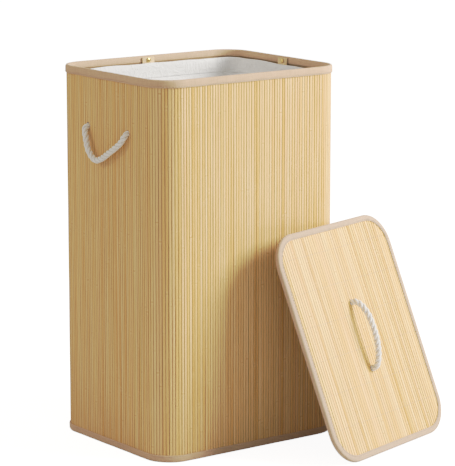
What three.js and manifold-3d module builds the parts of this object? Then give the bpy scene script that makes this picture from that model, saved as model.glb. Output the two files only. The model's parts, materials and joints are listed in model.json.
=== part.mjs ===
// Laundry hamper with lid, in millimetres, +Z up.
// The origin is on the floor, at the middle of the hamper's underside.
// X runs along the wide walls, Y along the narrow ones, and the front wall faces -Y.
// The lid is off: it stands on its short edge and leans on the front right corner.

import * as THREE from 'three';
import { ConvexGeometry } from 'three/addons/geometries/ConvexGeometry.js';
import { mergeVertices } from 'three/addons/utils/BufferGeometryUtils.js';
import Module from 'manifold-3d';

// ---- driving dimensions: the hamper -------------------------------------
const WIDTH = 355;                 // over the bindings, along X
const DEPTH = 295;                 // over the bindings, along Y
const HEIGHT = 600;
const CORNER_RADIUS = 45;          // outside corner, over the bindings
const GAP = 0.3;                   // between pieces that touch or are glued
const CORNER_STEPS = 4;            // how finely round corners are cut up
const CUT_PAST = 5;                // how far a drill runs past what it cuts

const TAPE = 0.9;                  // binding tape, one thickness
const MAT = 2.0;                   // bamboo slat mat
const BACKING = 0.8;               // cloth glued to the inside of the mat
const RIM_OUTSIDE = 12.5;          // rim binding, height of the outer leg
const RIM_INSIDE = 11;             // rim binding, height of the inner leg
const BASE_OUTSIDE = 11.5;         // base binding, height of the outer leg
const BASE_INSIDE = 10;
const HOOP_HEIGHT = 3;             // stiffening hoop inside each binding
const BASE_CLOTH = 1;
const BASE_BOARD = 3;
const BOARD_PLAY = 1;              // free edge round the loose base board
const SEAM_TAPE_WIDTH = 28;        // strip over the mat's butt joint at the back
const SEAM_TAPE = 0.7;

// ---- driving dimensions: ropes --------------------------------------------
const ROPE = 10;                   // rope diameter
const HOLE_CLEARANCE = 0.4;        // round the rope, all the way
const HANDLE_SPAN = 110;           // between a handle's two holes
const HANDLE_DROP_FROM_TOP = 90;   // from the rim down to the holes
const ROPE_CLEAR = 1;              // between a hanging side loop and the wall
const LOOP_SAG = 48;               // rope centre below the holes when it hangs
const LOOP_BELLY = 2;              // extra distance off the wall at the bottom
const LID_STANDOFF = 9;            // hinge line of the lid's loop off the mat
const LID_LOOP_RISE = 17;          // rope centre off that hinge line
const KNOT_WIDTH = 20;
const KNOT_DEPTH = 13;
const PATCH_MARGIN = 16;           // reinforcement round the pair of holes
const PATCH = 1.5;
const ROPE_SIDES = 8;
const ROPE_STEPS = 18;

// ---- driving dimensions: liner bag ------------------------------------------
const CLOTH = 0.8;
const HEM_DROP = 12;               // top of the liner below the rim
const HEM_HEIGHT = 25;
const HEM_LEG = 0.6;
const LINER_PLAY = 0.4;            // between the press studs and the liner's tabs
const KNOT_PLAY = 3;               // between the rope knots and the bag
const HEM_TO_SHOULDER = 2;         // straight cloth below the hem
const SHOULDER = 22;               // height over which the bag draws in
const BAG_TAPER = 3;               // draw-in from the shoulder to the bottom
const STUD_WIDTH = 7;
const STUD = 1.3;
const CAP_WIDTH = 7.5;
const CAP = 1.6;
const TAB_WIDTH = 24;
const TAB_RISE = 10;               // tab above the hem
const TAB_TAIL = 14;               // tab below the top of the hem, behind it
const STUD_ABOVE_HEM = 5;          // stud centre above the top of the hem

// ---- driving dimensions: lid --------------------------------------------------
const LID_OVERHANG = 8;            // past the hamper's outside, all round
const LID_THICKNESS = 8;
const LID_BAND = 10;               // binding tape on the lid's faces
const LID_LINING = 0.6;
const LID_MAT = 1.6;
const WASHER_WIDTH = 22;
const WASHER = 1.2;
const LEAN_BACK = THREE.MathUtils.degToRad(21.85);
const LEAN_TURN = THREE.MathUtils.degToRad(16.55);
const LEAN_SIDE = -6.4;            // lid's middle off the corner, along its edge
const LEAN_GAP = 0.5;

// ---- sizes that follow --------------------------------------------------------
const matInset = TAPE + GAP;
const backingInset = matInset + MAT + GAP;
const liningInset = backingInset + BACKING;
const innerLegInset = liningInset + GAP;
const hoopBand = [matInset, liningInset];
const wallBottom = TAPE + GAP + HOOP_HEIGHT + GAP;
const wallTop = HEIGHT - wallBottom;
const clothInset = innerLegInset + TAPE + GAP;
const boardBottom = BASE_CLOTH + GAP;
const boardTop = boardBottom + BASE_BOARD;
const holeHeight = HEIGHT - HANDLE_DROP_FROM_TOP;
const hole = ROPE + 2 * HOLE_CLEARANCE;
const handleStandoff = ROPE / 2 + ROPE_CLEAR;
const knotInset = innerLegInset + PATCH + GAP;
const studInset = innerLegInset + TAPE + GAP;
const tabInset = studInset + STUD + LINER_PLAY;
const hemInset = tabInset + CLOTH + GAP;
const bagInset = hemInset + HEM_LEG + GAP;
const hemInner = bagInset + CLOTH + GAP + HEM_LEG;
const hemTop = HEIGHT - HEM_DROP;
const bagTop = hemTop - HEM_LEG - GAP;
const shoulderTop = hemTop - HEM_HEIGHT - HEM_TO_SHOULDER;
const drawnInset = knotInset + KNOT_DEPTH + KNOT_PLAY;
const lidLength = WIDTH + 2 * LID_OVERHANG;
const lidWidth = DEPTH + 2 * LID_OVERHANG;
const lidRadius = CORNER_RADIUS + LID_OVERHANG;
const lidStackBottom = TAPE + GAP;
const lidStackTop = LID_THICKNESS - TAPE - GAP;

// ---- finishes ------------------------------------------------------------------
function finish(color, roughness, metalness = 0) {
  return new THREE.MeshStandardMaterial({ color, roughness, metalness });
}
const bamboo = finish(0xdcc08a, 0.55);
const tape = finish(0xc9ac8c, 0.9);
const backingCloth = finish(0xb89668, 0.95);
const fibreboard = finish(0x9a7a55, 0.85);
const canvas = finish(0xbfa27c, 0.95);
const rope = finish(0xece6da, 0.9);
const linerCloth = finish(0xe9e9e7, 0.95);
const brass = finish(0xb08d4f, 0.35, 1);
const steel = finish(0x9a9a9a, 0.4, 1);

// ---- solids --------------------------------------------------------------------
const wasm = await Module();
wasm.setup();

function solid(geometry) {
  const bare = geometry.clone();
  bare.deleteAttribute('normal');
  bare.deleteAttribute('uv');
  const merged = mergeVertices(bare, 1e-4);
  return new wasm.Manifold(new wasm.Mesh({
    numProp: 3,
    vertProperties: new Float32Array(merged.attributes.position.array),
    triVerts: new Uint32Array(merged.index.array),
  }));
}

function geometryOf(manifold) {
  const mesh = manifold.getMesh();
  const geometry = new THREE.BufferGeometry();
  geometry.setAttribute('position', new THREE.BufferAttribute(new Float32Array(mesh.vertProperties), 3));
  geometry.setIndex(new THREE.BufferAttribute(new Uint32Array(mesh.triVerts), 1));
  geometry.computeVertexNormals();
  return geometry;
}

function piece(name, geometry, material) {
  const mesh = new THREE.Mesh(geometry, material);
  mesh.name = name;
  return mesh;
}

// A rectangle with round corners, drawn counter-clockwise round the origin.
function roundedOutline(length, width, radius, Kind = THREE.Shape) {
  const x = length / 2 - radius;
  const y = width / 2 - radius;
  const outline = new Kind();
  outline.moveTo(length / 2, -y);
  outline.absarc(x, y, radius, 0, Math.PI / 2);
  outline.absarc(-x, y, radius, Math.PI / 2, Math.PI);
  outline.absarc(-x, -y, radius, Math.PI, 1.5 * Math.PI);
  outline.absarc(x, -y, radius, 1.5 * Math.PI, 2 * Math.PI);
  return outline;
}

// The hamper's outline drawn in by an inset, and the lid's.
const SMALLEST_RADIUS = 6;
function hamperOutline(inset, Kind) {
  const radius = Math.max(CORNER_RADIUS - inset, SMALLEST_RADIUS);
  return roundedOutline(WIDTH - 2 * inset, DEPTH - 2 * inset, radius, Kind);
}
function lidOutline(inset, Kind) {
  return roundedOutline(lidWidth - 2 * inset, lidLength - 2 * inset, lidRadius - inset, Kind);
}

function extrude(shape, bottom, top) {
  const geometry = new THREE.ExtrudeGeometry(shape, {
    depth: top - bottom, bevelEnabled: false, curveSegments: CORNER_STEPS,
  });
  return geometry.translate(0, 0, bottom);
}

function plate(outlineAt, inset, bottom, top) {
  return extrude(outlineAt(inset), bottom, top);
}

function ring(outlineAt, outerInset, innerInset, bottom, top) {
  const shape = outlineAt(outerInset);
  shape.holes.push(outlineAt(innerInset, THREE.Path));
  return extrude(shape, bottom, top);
}

// A tape folded over an edge: two legs and the fold that joins them.
function foldedTape(outlineAt, outerInset, innerInset, fold, outerLeg, innerLeg, leg) {
  const [foldLow, foldHigh] = fold;
  const up = foldLow > outerLeg;
  const span = (legEnd) => (up ? [legEnd, foldHigh] : [foldLow, legEnd]);
  const outer = solid(ring(outlineAt, outerInset, outerInset + leg, ...span(outerLeg)));
  const inner = solid(ring(outlineAt, innerInset - leg, innerInset, ...span(innerLeg)));
  const bridge = solid(ring(outlineAt, outerInset, innerInset, foldLow, foldHigh));
  return geometryOf(outer.add(inner).add(bridge));
}

function cylinderAlongX(diameter, x0, x1, y, z, sides = 16) {
  const geometry = new THREE.CylinderGeometry(diameter / 2, diameter / 2, Math.abs(x1 - x0), sides);
  geometry.rotateZ(Math.PI / 2);
  return geometry.translate((x0 + x1) / 2, y, z);
}

// A rope laid through points, with a ball on each end that turns in its hole.
function ropeLoop(points) {
  const path = new THREE.CatmullRomCurve3(points, false, 'centripetal');
  const section = new THREE.Shape();
  section.absarc(0, 0, ROPE / 2, 0, 2 * Math.PI);
  const tube = new THREE.ExtrudeGeometry(section, {
    steps: ROPE_STEPS, extrudePath: path, curveSegments: ROPE_SIDES / 2, bevelEnabled: false,
  });
  let body = solid(tube);
  for (const end of [points[0], points[points.length - 1]]) {
    const ball = new THREE.SphereGeometry(ROPE / 2, 10, 6);
    ball.rotateX(Math.PI / 2).translate(end.x, end.y, end.z);
    body = body.add(solid(ball));
  }
  return geometryOf(body);
}

// A rope end: a straight stub through the wall and an overhand knot behind it.
// It is made along +Z, with the stub's outer end at the top.
function ropeEnd(stubTop, knotTop) {
  const stub = new THREE.CylinderGeometry(ROPE / 2, ROPE / 2, stubTop - knotTop + KNOT_DEPTH / 2, 12);
  stub.rotateX(Math.PI / 2).translate(0, 0, (stubTop + knotTop - KNOT_DEPTH / 2) / 2);
  const knot = new THREE.SphereGeometry(0.5, 10, 6);
  knot.scale(KNOT_WIDTH, KNOT_DEPTH, KNOT_WIDTH).rotateX(Math.PI / 2);
  knot.translate(0, 0, knotTop - KNOT_DEPTH / 2);
  return geometryOf(solid(stub).add(solid(knot)));
}

// Turns what was made along +Z towards one side wall, at a hole on that wall.
function atSideHole(geometry, side, y) {
  geometry.rotateY(side * Math.PI / 2);
  return geometry.translate(side * WIDTH / 2, y, holeHeight);
}

// ---- the hamper's shell ----------------------------------------------------------
function wallWithHoles(outerInset, innerInset) {
  let wall = solid(ring(hamperOutline, outerInset, innerInset, wallBottom, wallTop));
  for (const side of [-1, 1]) {
    for (const y of [-HANDLE_SPAN / 2, HANDLE_SPAN / 2]) {
      const deep = side * (WIDTH / 2 - liningInset - CUT_PAST);
      const shallow = side * (WIDTH / 2 + CUT_PAST);
      wall = wall.subtract(solid(cylinderAlongX(hole, deep, shallow, y, holeHeight)));
    }
  }
  return geometryOf(wall);
}

function shell() {
  const group = new THREE.Group();
  const bindingInset = innerLegInset + TAPE;
  group.add(piece('bamboo_wall', wallWithHoles(matInset, matInset + MAT), bamboo));
  group.add(piece('wall_backing', wallWithHoles(backingInset, liningInset), backingCloth));
  const rim = foldedTape(hamperOutline, 0, bindingInset, [HEIGHT - TAPE, HEIGHT],
    HEIGHT - RIM_OUTSIDE, HEIGHT - RIM_INSIDE, TAPE);
  group.add(piece('rim_binding', rim, tape));
  const base = foldedTape(hamperOutline, 0, bindingInset, [0, TAPE], BASE_OUTSIDE, BASE_INSIDE, TAPE);
  group.add(piece('base_binding', base, tape));
  const rimHoop = ring(hamperOutline, ...hoopBand, wallTop + GAP, wallTop + GAP + HOOP_HEIGHT);
  group.add(piece('rim_hoop', rimHoop, steel));
  group.add(piece('base_hoop', ring(hamperOutline, ...hoopBand, TAPE + GAP, wallBottom - GAP), steel));
  group.add(piece('base_cloth', plate(hamperOutline, clothInset, 0, BASE_CLOTH), canvas));
  const board = plate(hamperOutline, clothInset + BOARD_PLAY, boardBottom, boardTop);
  group.add(piece('base_board', board, fibreboard));
  return group;
}

// The mat's two ends meet at the middle of the back wall, under a cloth strip
// that runs between the two bindings.
function seamTape() {
  const bottom = BASE_INSIDE + GAP;
  const top = HEIGHT - RIM_INSIDE - GAP;
  const geometry = new THREE.BoxGeometry(SEAM_TAPE_WIDTH, SEAM_TAPE, top - bottom);
  geometry.translate(0, DEPTH / 2 - innerLegInset - SEAM_TAPE / 2, (top + bottom) / 2);
  return piece('back_seam_tape', geometry, tape);
}

// Fibre patches behind the handle holes spread the pull of the ropes.
function handlePatch(side, name) {
  const box = new THREE.BoxGeometry(PATCH, HANDLE_SPAN + 2 * PATCH_MARGIN, 2 * PATCH_MARGIN);
  const x = side * (WIDTH / 2 - innerLegInset - PATCH / 2);
  let patch = solid(box.translate(x, 0, holeHeight));
  for (const y of [-HANDLE_SPAN / 2, HANDLE_SPAN / 2]) {
    const drill = cylinderAlongX(hole, x - CUT_PAST, x + CUT_PAST, y, holeHeight);
    patch = patch.subtract(solid(drill));
  }
  return piece(name, geometryOf(patch), fibreboard);
}

// ---- press studs and the liner's fixings ------------------------------------------
// Each is made for the front wall and turned to its own wall: the reach is how far
// that wall's outside stands from the middle.
const walls = [
  { name: 'front', turn: 0, reach: DEPTH / 2 },
  { name: 'right', turn: Math.PI / 2, reach: WIDTH / 2 },
  { name: 'back', turn: Math.PI, reach: DEPTH / 2 },
  { name: 'left', turn: 1.5 * Math.PI, reach: WIDTH / 2 },
];

function onWall(wall, geometry, inset, z) {
  geometry.translate(0, -wall.reach + inset, z);
  return geometry.rotateZ(wall.turn);
}

// A button turned on a lathe: a flat back and a domed face, facing inwards.
function button(diameter, height, sides = 12) {
  const r = diameter / 2;
  const profile = [[0, 0], [r, 0], [r, height * 0.45], [r * 0.72, height * 0.85], [0, height]];
  return new THREE.LatheGeometry(profile.map(([x, y]) => new THREE.Vector2(x, y)), sides);
}

const studHeight = hemTop + STUD_ABOVE_HEM;

function studs() {
  const group = new THREE.Group();
  for (const wall of walls) {
    const stud = onWall(wall, button(STUD_WIDTH, STUD), studInset, studHeight);
    group.add(piece(`press_stud_${wall.name}`, stud, brass));
  }
  return group;
}

// ---- the liner bag --------------------------------------------------------------
// A solid between two levels whose outlines are drawn in by their own insets.
function frustum(lowInset, low, highInset, high) {
  const points = [];
  for (const [inset, z] of [[lowInset, low], [highInset, high]]) {
    for (const p of hamperOutline(inset).getPoints(CORNER_STEPS)) {
      points.push(new THREE.Vector3(p.x, p.y, z));
    }
  }
  return solid(new ConvexGeometry(points));
}

// One cloth thickness round a stretch of the bag: straight between two insets.
function clothTube(lowInset, low, highInset, high) {
  const outside = frustum(lowInset, low, highInset, high);
  const slope = (highInset - lowInset) / (high - low);
  const draw = slope * CUT_PAST;
  const inside = frustum(lowInset + CLOTH - draw, low - CUT_PAST, highInset + CLOTH + draw, high + CUT_PAST);
  return outside.subtract(inside);
}

// The bag is sewn from a neck with the hem on it, a shoulder, a tube and a bottom panel.
function liner() {
  const group = new THREE.Group();
  const floor = boardTop + GAP;
  const tubeBottom = floor + CLOTH + GAP;
  const tubeTop = shoulderTop - SHOULDER;
  const panelInset = drawnInset + BAG_TAPER;
  const neck = clothTube(bagInset, shoulderTop + GAP, bagInset, bagTop);
  group.add(piece('liner_neck', geometryOf(neck), linerCloth));
  const shoulder = clothTube(drawnInset, tubeTop + GAP, bagInset, shoulderTop);
  group.add(piece('liner_shoulder', geometryOf(shoulder), linerCloth));
  const tube = clothTube(panelInset, tubeBottom, drawnInset, tubeTop);
  group.add(piece('liner_bag', geometryOf(tube), linerCloth));
  const panel = plate(hamperOutline, panelInset, floor, floor + CLOTH);
  group.add(piece('liner_bottom', panel, linerCloth));
  const hem = foldedTape(hamperOutline, hemInset, hemInner, [hemTop - HEM_LEG, hemTop],
    hemTop - HEM_HEIGHT, hemTop - HEM_HEIGHT, HEM_LEG);
  group.add(piece('liner_hem', hem, linerCloth));
  for (const wall of walls) {
    const tab = new THREE.BoxGeometry(TAB_WIDTH, CLOTH, TAB_RISE + TAB_TAIL);
    onWall(wall, tab, tabInset + CLOTH / 2, hemTop + (TAB_RISE - TAB_TAIL) / 2);
    group.add(piece(`liner_tab_${wall.name}`, tab, tape));
    const cap = onWall(wall, button(CAP_WIDTH, CAP), tabInset + CLOTH + GAP, studHeight);
    group.add(piece(`snap_cap_${wall.name}`, cap, brass));
  }
  return group;
}

// ---- the side handles -------------------------------------------------------------
// Points of the hanging loop: along the wall, below the holes and off the hinge line,
// each as a share of the half span, the sag and the belly.
const loopShape = [
  [1, 0, 0], [0.98, 0.15, 0.5], [0.89, 0.37, 0.9], [0.755, 0.73, 1], [0.57, 0.95, 1], [0.36, 1.05, 1],
  [0.06, 0.95, 1], [-0.33, 0.7, 0.9], [-0.65, 0.48, 0.7], [-0.89, 0.28, 0.4], [-0.97, 0.12, 0.2], [-1, 0, 0],
];

function sideHandle(side, name) {
  const points = loopShape.map(([along, down, off]) => new THREE.Vector3(
    side * (WIDTH / 2 + handleStandoff + off * LOOP_BELLY),
    along * HANDLE_SPAN / 2,
    holeHeight - down * LOOP_SAG,
  ));
  return piece(name, ropeLoop(points), rope);
}

const stubReach = ROPE_CLEAR - GAP;

function sideRopeEnds(side, label) {
  const group = new THREE.Group();
  for (const [place, y] of [['front', -HANDLE_SPAN / 2], ['back', HANDLE_SPAN / 2]]) {
    const end = atSideHole(ropeEnd(stubReach, -knotInset), side, y);
    group.add(piece(`${label}_rope_end_${place}`, end, rope));
  }
  return group;
}

// ---- the lid ----------------------------------------------------------------------
// Made lying flat: its long side along Y, the underside at Z = 0.
function drillLid(geometry) {
  let sheet = solid(geometry);
  for (const y of [-HANDLE_SPAN / 2, HANDLE_SPAN / 2]) {
    const drill = new THREE.CylinderGeometry(hole / 2, hole / 2, 2 * (LID_THICKNESS + CUT_PAST), 16);
    sheet = sheet.subtract(solid(drill.rotateX(Math.PI / 2).translate(0, y, 0)));
  }
  return geometryOf(sheet);
}

function lidBinding() {
  const outer = solid(plate(lidOutline, 0, 0, LID_THICKNESS));
  const pocket = solid(plate(lidOutline, TAPE, TAPE, LID_THICKNESS - TAPE));
  const window = solid(plate(lidOutline, LID_BAND, -CUT_PAST, LID_THICKNESS + CUT_PAST));
  return geometryOf(outer.subtract(pocket).subtract(window));
}

// Outline of the lid's loop: along the lid and off its face, as shares.
const lidLoopShape = [
  [1, 0], [0.97, 0.3], [0.84, 0.66], [0.56, 0.92], [0.15, 1],
  [-0.25, 0.97], [-0.6, 0.8], [-0.87, 0.48], [-0.98, 0.2], [-1, 0],
];
const lidHinge = lidStackTop + LID_STANDOFF;

function lid() {
  const group = new THREE.Group();
  const stackInset = TAPE + GAP;
  const liningTop = lidStackBottom + LID_LINING;
  const matBottom = lidStackTop - LID_MAT;
  const layer = (bottom, top) => drillLid(plate(lidOutline, stackInset, bottom, top));
  group.add(piece('lid_binding', lidBinding(), tape));
  group.add(piece('lid_lining', layer(lidStackBottom, liningTop), backingCloth));
  group.add(piece('lid_board', layer(liningTop + GAP, matBottom - GAP), fibreboard));
  group.add(piece('lid_mat', layer(matBottom, lidStackTop), bamboo));
  for (const [place, y] of [['lower', -HANDLE_SPAN / 2], ['upper', HANDLE_SPAN / 2]]) {
    const washerTop = lidStackBottom - GAP;
    const disc = new THREE.CylinderGeometry(WASHER_WIDTH / 2, WASHER_WIDTH / 2, WASHER, 20);
    disc.rotateX(Math.PI / 2).translate(0, y, washerTop - WASHER / 2);
    group.add(piece(`lid_washer_${place}`, drillLid(disc), fibreboard));
    const end = ropeEnd(lidHinge - ROPE / 2 - GAP, washerTop - WASHER - GAP);
    group.add(piece(`lid_rope_end_${place}`, end.translate(0, y, 0), rope));
  }
  const points = lidLoopShape.map(([along, off]) => new THREE.Vector3(
    0, along * HANDLE_SPAN / 2, lidHinge + off * LID_LOOP_RISE,
  ));
  group.add(piece('lid_handle', ropeLoop(points), rope));
  return group;
}

// Stands the lid on its short edge and leans its top edge on the hamper's corner.
function leaningLid() {
  const corner = new THREE.Vector2(WIDTH / 2 - CORNER_RADIUS, -DEPTH / 2 + CORNER_RADIUS);
  const outwards = new THREE.Vector2(Math.sin(LEAN_TURN), -Math.cos(LEAN_TURN));
  const sideways = new THREE.Vector2(Math.cos(LEAN_TURN), Math.sin(LEAN_TURN));
  const reach = CORNER_RADIUS + LEAN_GAP + lidLength * Math.sin(LEAN_BACK);
  const foot = corner.addScaledVector(outwards, reach).addScaledVector(sideways, LEAN_SIDE);

  const flat = lid();
  flat.position.y = lidLength / 2;
  const tilted = new THREE.Group();
  tilted.rotation.x = Math.PI / 2 - LEAN_BACK;
  tilted.add(flat);
  const turned = new THREE.Group();
  turned.rotation.z = LEAN_TURN;
  turned.position.set(foot.x, foot.y, 0);
  turned.add(tilted);
  return turned;
}

// ---- the whole hamper ----------------------------------------------------------------
const hamper = new THREE.Group();
hamper.add(shell());
hamper.add(seamTape());
hamper.add(studs());
hamper.add(liner());
for (const [side, label] of [[-1, 'left'], [1, 'right']]) {
  hamper.add(handlePatch(side, `${label}_handle_patch`));
  hamper.add(sideRopeEnds(side, label));
  hamper.add(sideHandle(side, `${label}_handle`));
}
hamper.add(leaningLid());

export default hamper;
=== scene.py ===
import json
import math

import bpy
import numpy as np
from mathutils import Matrix, Vector


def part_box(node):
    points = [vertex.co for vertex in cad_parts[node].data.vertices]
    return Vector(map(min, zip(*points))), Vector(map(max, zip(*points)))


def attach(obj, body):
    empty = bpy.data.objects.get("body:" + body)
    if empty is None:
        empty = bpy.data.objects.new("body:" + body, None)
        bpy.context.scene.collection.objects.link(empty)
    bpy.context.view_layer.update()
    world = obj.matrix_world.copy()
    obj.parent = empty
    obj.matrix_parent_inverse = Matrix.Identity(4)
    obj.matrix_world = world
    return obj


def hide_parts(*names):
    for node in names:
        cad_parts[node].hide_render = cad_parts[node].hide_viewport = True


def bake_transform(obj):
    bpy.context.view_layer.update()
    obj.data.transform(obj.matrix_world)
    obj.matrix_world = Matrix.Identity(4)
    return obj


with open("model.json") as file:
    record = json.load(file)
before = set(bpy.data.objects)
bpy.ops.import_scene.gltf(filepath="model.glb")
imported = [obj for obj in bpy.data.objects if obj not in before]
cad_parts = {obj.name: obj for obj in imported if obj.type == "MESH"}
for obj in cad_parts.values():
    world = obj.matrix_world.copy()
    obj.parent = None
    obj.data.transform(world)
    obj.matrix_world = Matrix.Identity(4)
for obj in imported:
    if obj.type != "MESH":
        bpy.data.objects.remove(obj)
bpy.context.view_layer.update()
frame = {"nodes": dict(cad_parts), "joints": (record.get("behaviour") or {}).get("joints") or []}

# ---- Camera ----------
# A long lens a few metres off, a little above the rim, looking at the front left
# corner of the hamper.
camera_data = bpy.data.cameras.new("camera")
camera_data.lens = 193.11
camera_data.sensor_width = 36
camera_data.clip_end = 50
camera = bpy.data.objects.new("camera", camera_data)
camera.location = (-2.3379, -3.2031, 1.0826)
camera.rotation_euler = (math.radians(79.19), 0, math.radians(-36.79))
bpy.context.scene.collection.objects.link(camera)
bpy.context.scene.camera = camera

# ---- Rope handles ----------
# Three loops of 10 mm cotton rope, laid up from three strands. Each runs out through one
# hole, hangs or stands in a loop, and goes back in through the other; a knot behind the
# wall or under the lid holds each end.
ROPE = 0.010
ROPE_LAY = 0.027  # one full turn of a strand
ROPE_STEP = 0.0011
STRAND_RADIUS = 0.0027
STRAND_SIDES = 12
HOLE_HEIGHT = 0.510
HANDLE_HALF_SPAN = 0.055
ROPE_STANDOFF = 0.006  # hinge line of a side loop off the wall
LOOP_SAG = 0.048
LOOP_BELLY = 0.002
LID_LOOP_RISE = 0.017  # beyond the hinge line
LOOP_SHAPE = [
    (0.98, 0.14, -0.4), (0.89, 0.37, 0.5), (0.755, 0.73, 1), (0.57, 0.95, 1), (0.36, 1.05, 1),
    (0.06, 0.95, 1), (-0.33, 0.7, 0.9), (-0.65, 0.48, 0.6), (-0.87, 0.29, 0.1), (-0.96, 0.15, -0.5),
]
LID_LOOP_SHAPE = [
    (0.99, -0.1), (0.94, 0.15), (0.8, 0.52), (0.52, 0.88), (0.15, 1),
    (-0.25, 0.95), (-0.6, 0.7), (-0.86, 0.32), (-0.96, 0.05), (-0.995, -0.15),
]
# Painted groove shade, then the rope's own colour on the strands' crowns.
COTTON_GROOVE_SHADE_AND_CROWN = ((0.52, 0.44, 0.34, 1), (0.98, 0.95, 0.89, 1))  # dark and light

half_width, half_depth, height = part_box("rim_binding")[1]

# The leaning lid has a frame of its own: X across it, Y along its long side and Z out
# of its top face, from the middle of its underside.
LID_HINGE_HEIGHT = 0.0158
joints = {joint["name"]: joint for joint in frame["joints"]}
lid_long = Vector(joints["lid_handle_swing"]["axis"]).normalized()
lid_across = lid_long.cross(Vector((0, 0, 1))).normalized()
lid_out = lid_across.cross(lid_long)
lid_middle = Vector(joints["lid_handle_swing"]["pos_m"]) - lid_out * LID_HINGE_HEIGHT
lid_turn = Matrix((lid_across, lid_long, lid_out)).transposed().to_4x4()
lid_place = Matrix.Translation(lid_middle) @ lid_turn


def node(tree, kind, inputs=None, **settings):
    """A shader node with its sockets filled: a socket is linked, a number is set."""
    made = tree.nodes.new("ShaderNode" + kind)
    for key, value in settings.items():
        setattr(made, key, value)
    for key, value in (inputs or {}).items():
        if isinstance(value, bpy.types.NodeSocket):
            tree.links.new(value, made.inputs[key])
        else:
            made.inputs[key].default_value = value
    return made


def tree_of(values):
    """The node tree that the first socket among the values is in."""
    return next(value.id_data for value in values if isinstance(value, bpy.types.NodeSocket))


def reckon(operation, *numbers):
    inputs = dict(enumerate(numbers))
    return node(tree_of(numbers), "Math", inputs, operation=operation).outputs[0]


def times(first, second):
    return reckon("MULTIPLY", first, second)


def own_place(tree):
    return node(tree, "TexCoord").outputs["Object"]


def noise(place, scale, detail, **others):
    inputs = {"Vector": place, "Scale": scale, "Detail": detail, **others}
    return node(place.id_data, "TexNoise", inputs).outputs["Fac"]


def carried(tree, name):
    """A number carried by the mesh's points."""
    return node(tree, "Attribute", attribute_name=name).outputs["Fac"]


def join_numbers(x, y, z=0.0):
    return node(tree_of((x, y, z)), "CombineXYZ", {0: x, 1: y, 2: z}).outputs[0]


def blend_colours(share, low, high, way="MIX"):
    tree = tree_of((share, low, high))
    return node(tree, "MixRGB", {0: share, 1: low, 2: high}, blend_type=way).outputs[0]


def ramp(share, low, high, from_low=0.0, from_high=1.0):
    """A number brought from one range to another, held at its ends."""
    inputs = {"Value": share, "From Min": from_low, "From Max": from_high,
              "To Min": low, "To Max": high}
    return node(share.id_data, "MapRange", inputs).outputs[0]


def effect(name, inputs, outputs):
    """A node group to fill: its inputs with their usual values, its outputs' kinds."""
    group = bpy.data.node_groups.new(name, "ShaderNodeTree")
    for label, value in inputs.items():
        kind = "NodeSocketColor" if isinstance(value, tuple) else "NodeSocketFloat"
        socket = group.interface.new_socket(name=label, in_out="INPUT", socket_type=kind)
        socket.default_value = value
    for label, kind in outputs.items():
        group.interface.new_socket(
            name=label, in_out="OUTPUT", socket_type="NodeSocket" + kind)
    given = group.nodes.new("NodeGroupInput").outputs
    wanted = group.nodes.new("NodeGroupOutput").inputs
    return group, given, wanted


def coat(name, build, **plain):
    """A material: build(tree) gives the linked sockets, the rest are plain values."""
    material = bpy.data.materials.new(name)
    material.use_nodes = True
    tree = material.node_tree
    tree.nodes.clear()
    sockets = {key.replace("_", " "): value for key, value in plain.items()}
    sockets.update(build(tree))
    surface = node(tree, "BsdfPrincipled", sockets)
    output = node(tree, "OutputMaterial")
    tree.links.new(surface.outputs[0], output.inputs["Surface"])
    return material


def raised(lift, depth):
    """A normal for a surface that stands depth metres higher where lift is one."""
    return node(lift.id_data, "Bump", {"Height": lift, "Distance": depth}).outputs["Normal"]


def new_piece(name, points, faces, material, numbers=None, place=None):
    """A smooth mesh piece; numbers holds one value per point for each attribute."""
    mesh = bpy.data.meshes.new(name)
    mesh.from_pydata(np.asarray(points, float).tolist(), [], faces)
    for key, values in (numbers or {}).items():
        values = np.asarray(values, np.float32).ravel()
        mesh.attributes.new(key, "FLOAT", "POINT").data.foreach_set("value", values)
    mesh.polygons.foreach_set("use_smooth", [True] * len(mesh.polygons))
    mesh.materials.append(material)
    mesh.update()
    piece = bpy.data.objects.new(name, mesh)
    bpy.context.scene.collection.objects.link(piece)
    if place is not None:
        piece.matrix_world = place
    return piece


def settle(piece, body, slot, *stands_for):
    """Which body a piece rides on and which nodes it replaces; slot, what it is made of, is not used."""
    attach(piece, body)
    if stands_for:
        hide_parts(*stands_for)


def ring_faces(rows, columns, first=0, rows_closed=False):
    """Quads between neighbouring rows of points, where each row is a closed ring."""
    faces = []
    for row in range(rows if rows_closed else rows - 1):
        here, there = first + row * columns, first + (row + 1) % rows * columns
        for column in range(columns):
            after = (column + 1) % columns
            faces.append((here + column, there + column, there + after, here + after))
    return faces


def tube_faces(rows, columns, first=0):
    """The faces of rings of points, with a flat cap on the first and on the last."""
    last = first + (rows - 1) * columns
    caps = [tuple(range(first, first + columns)),
            tuple(reversed(range(last, last + columns)))]
    return ring_faces(rows, columns, first) + caps


def distances(line, power=1):
    """How far along the line each of its points is."""
    steps = np.linalg.norm(np.diff(line, axis=0), axis=1) ** power
    return np.concatenate([[0], np.cumsum(steps)])


def partway(first, second, low, high, t):
    return first + (second - first) * (t - low) / (high - low)


CURVE_STEPS = 24


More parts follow.
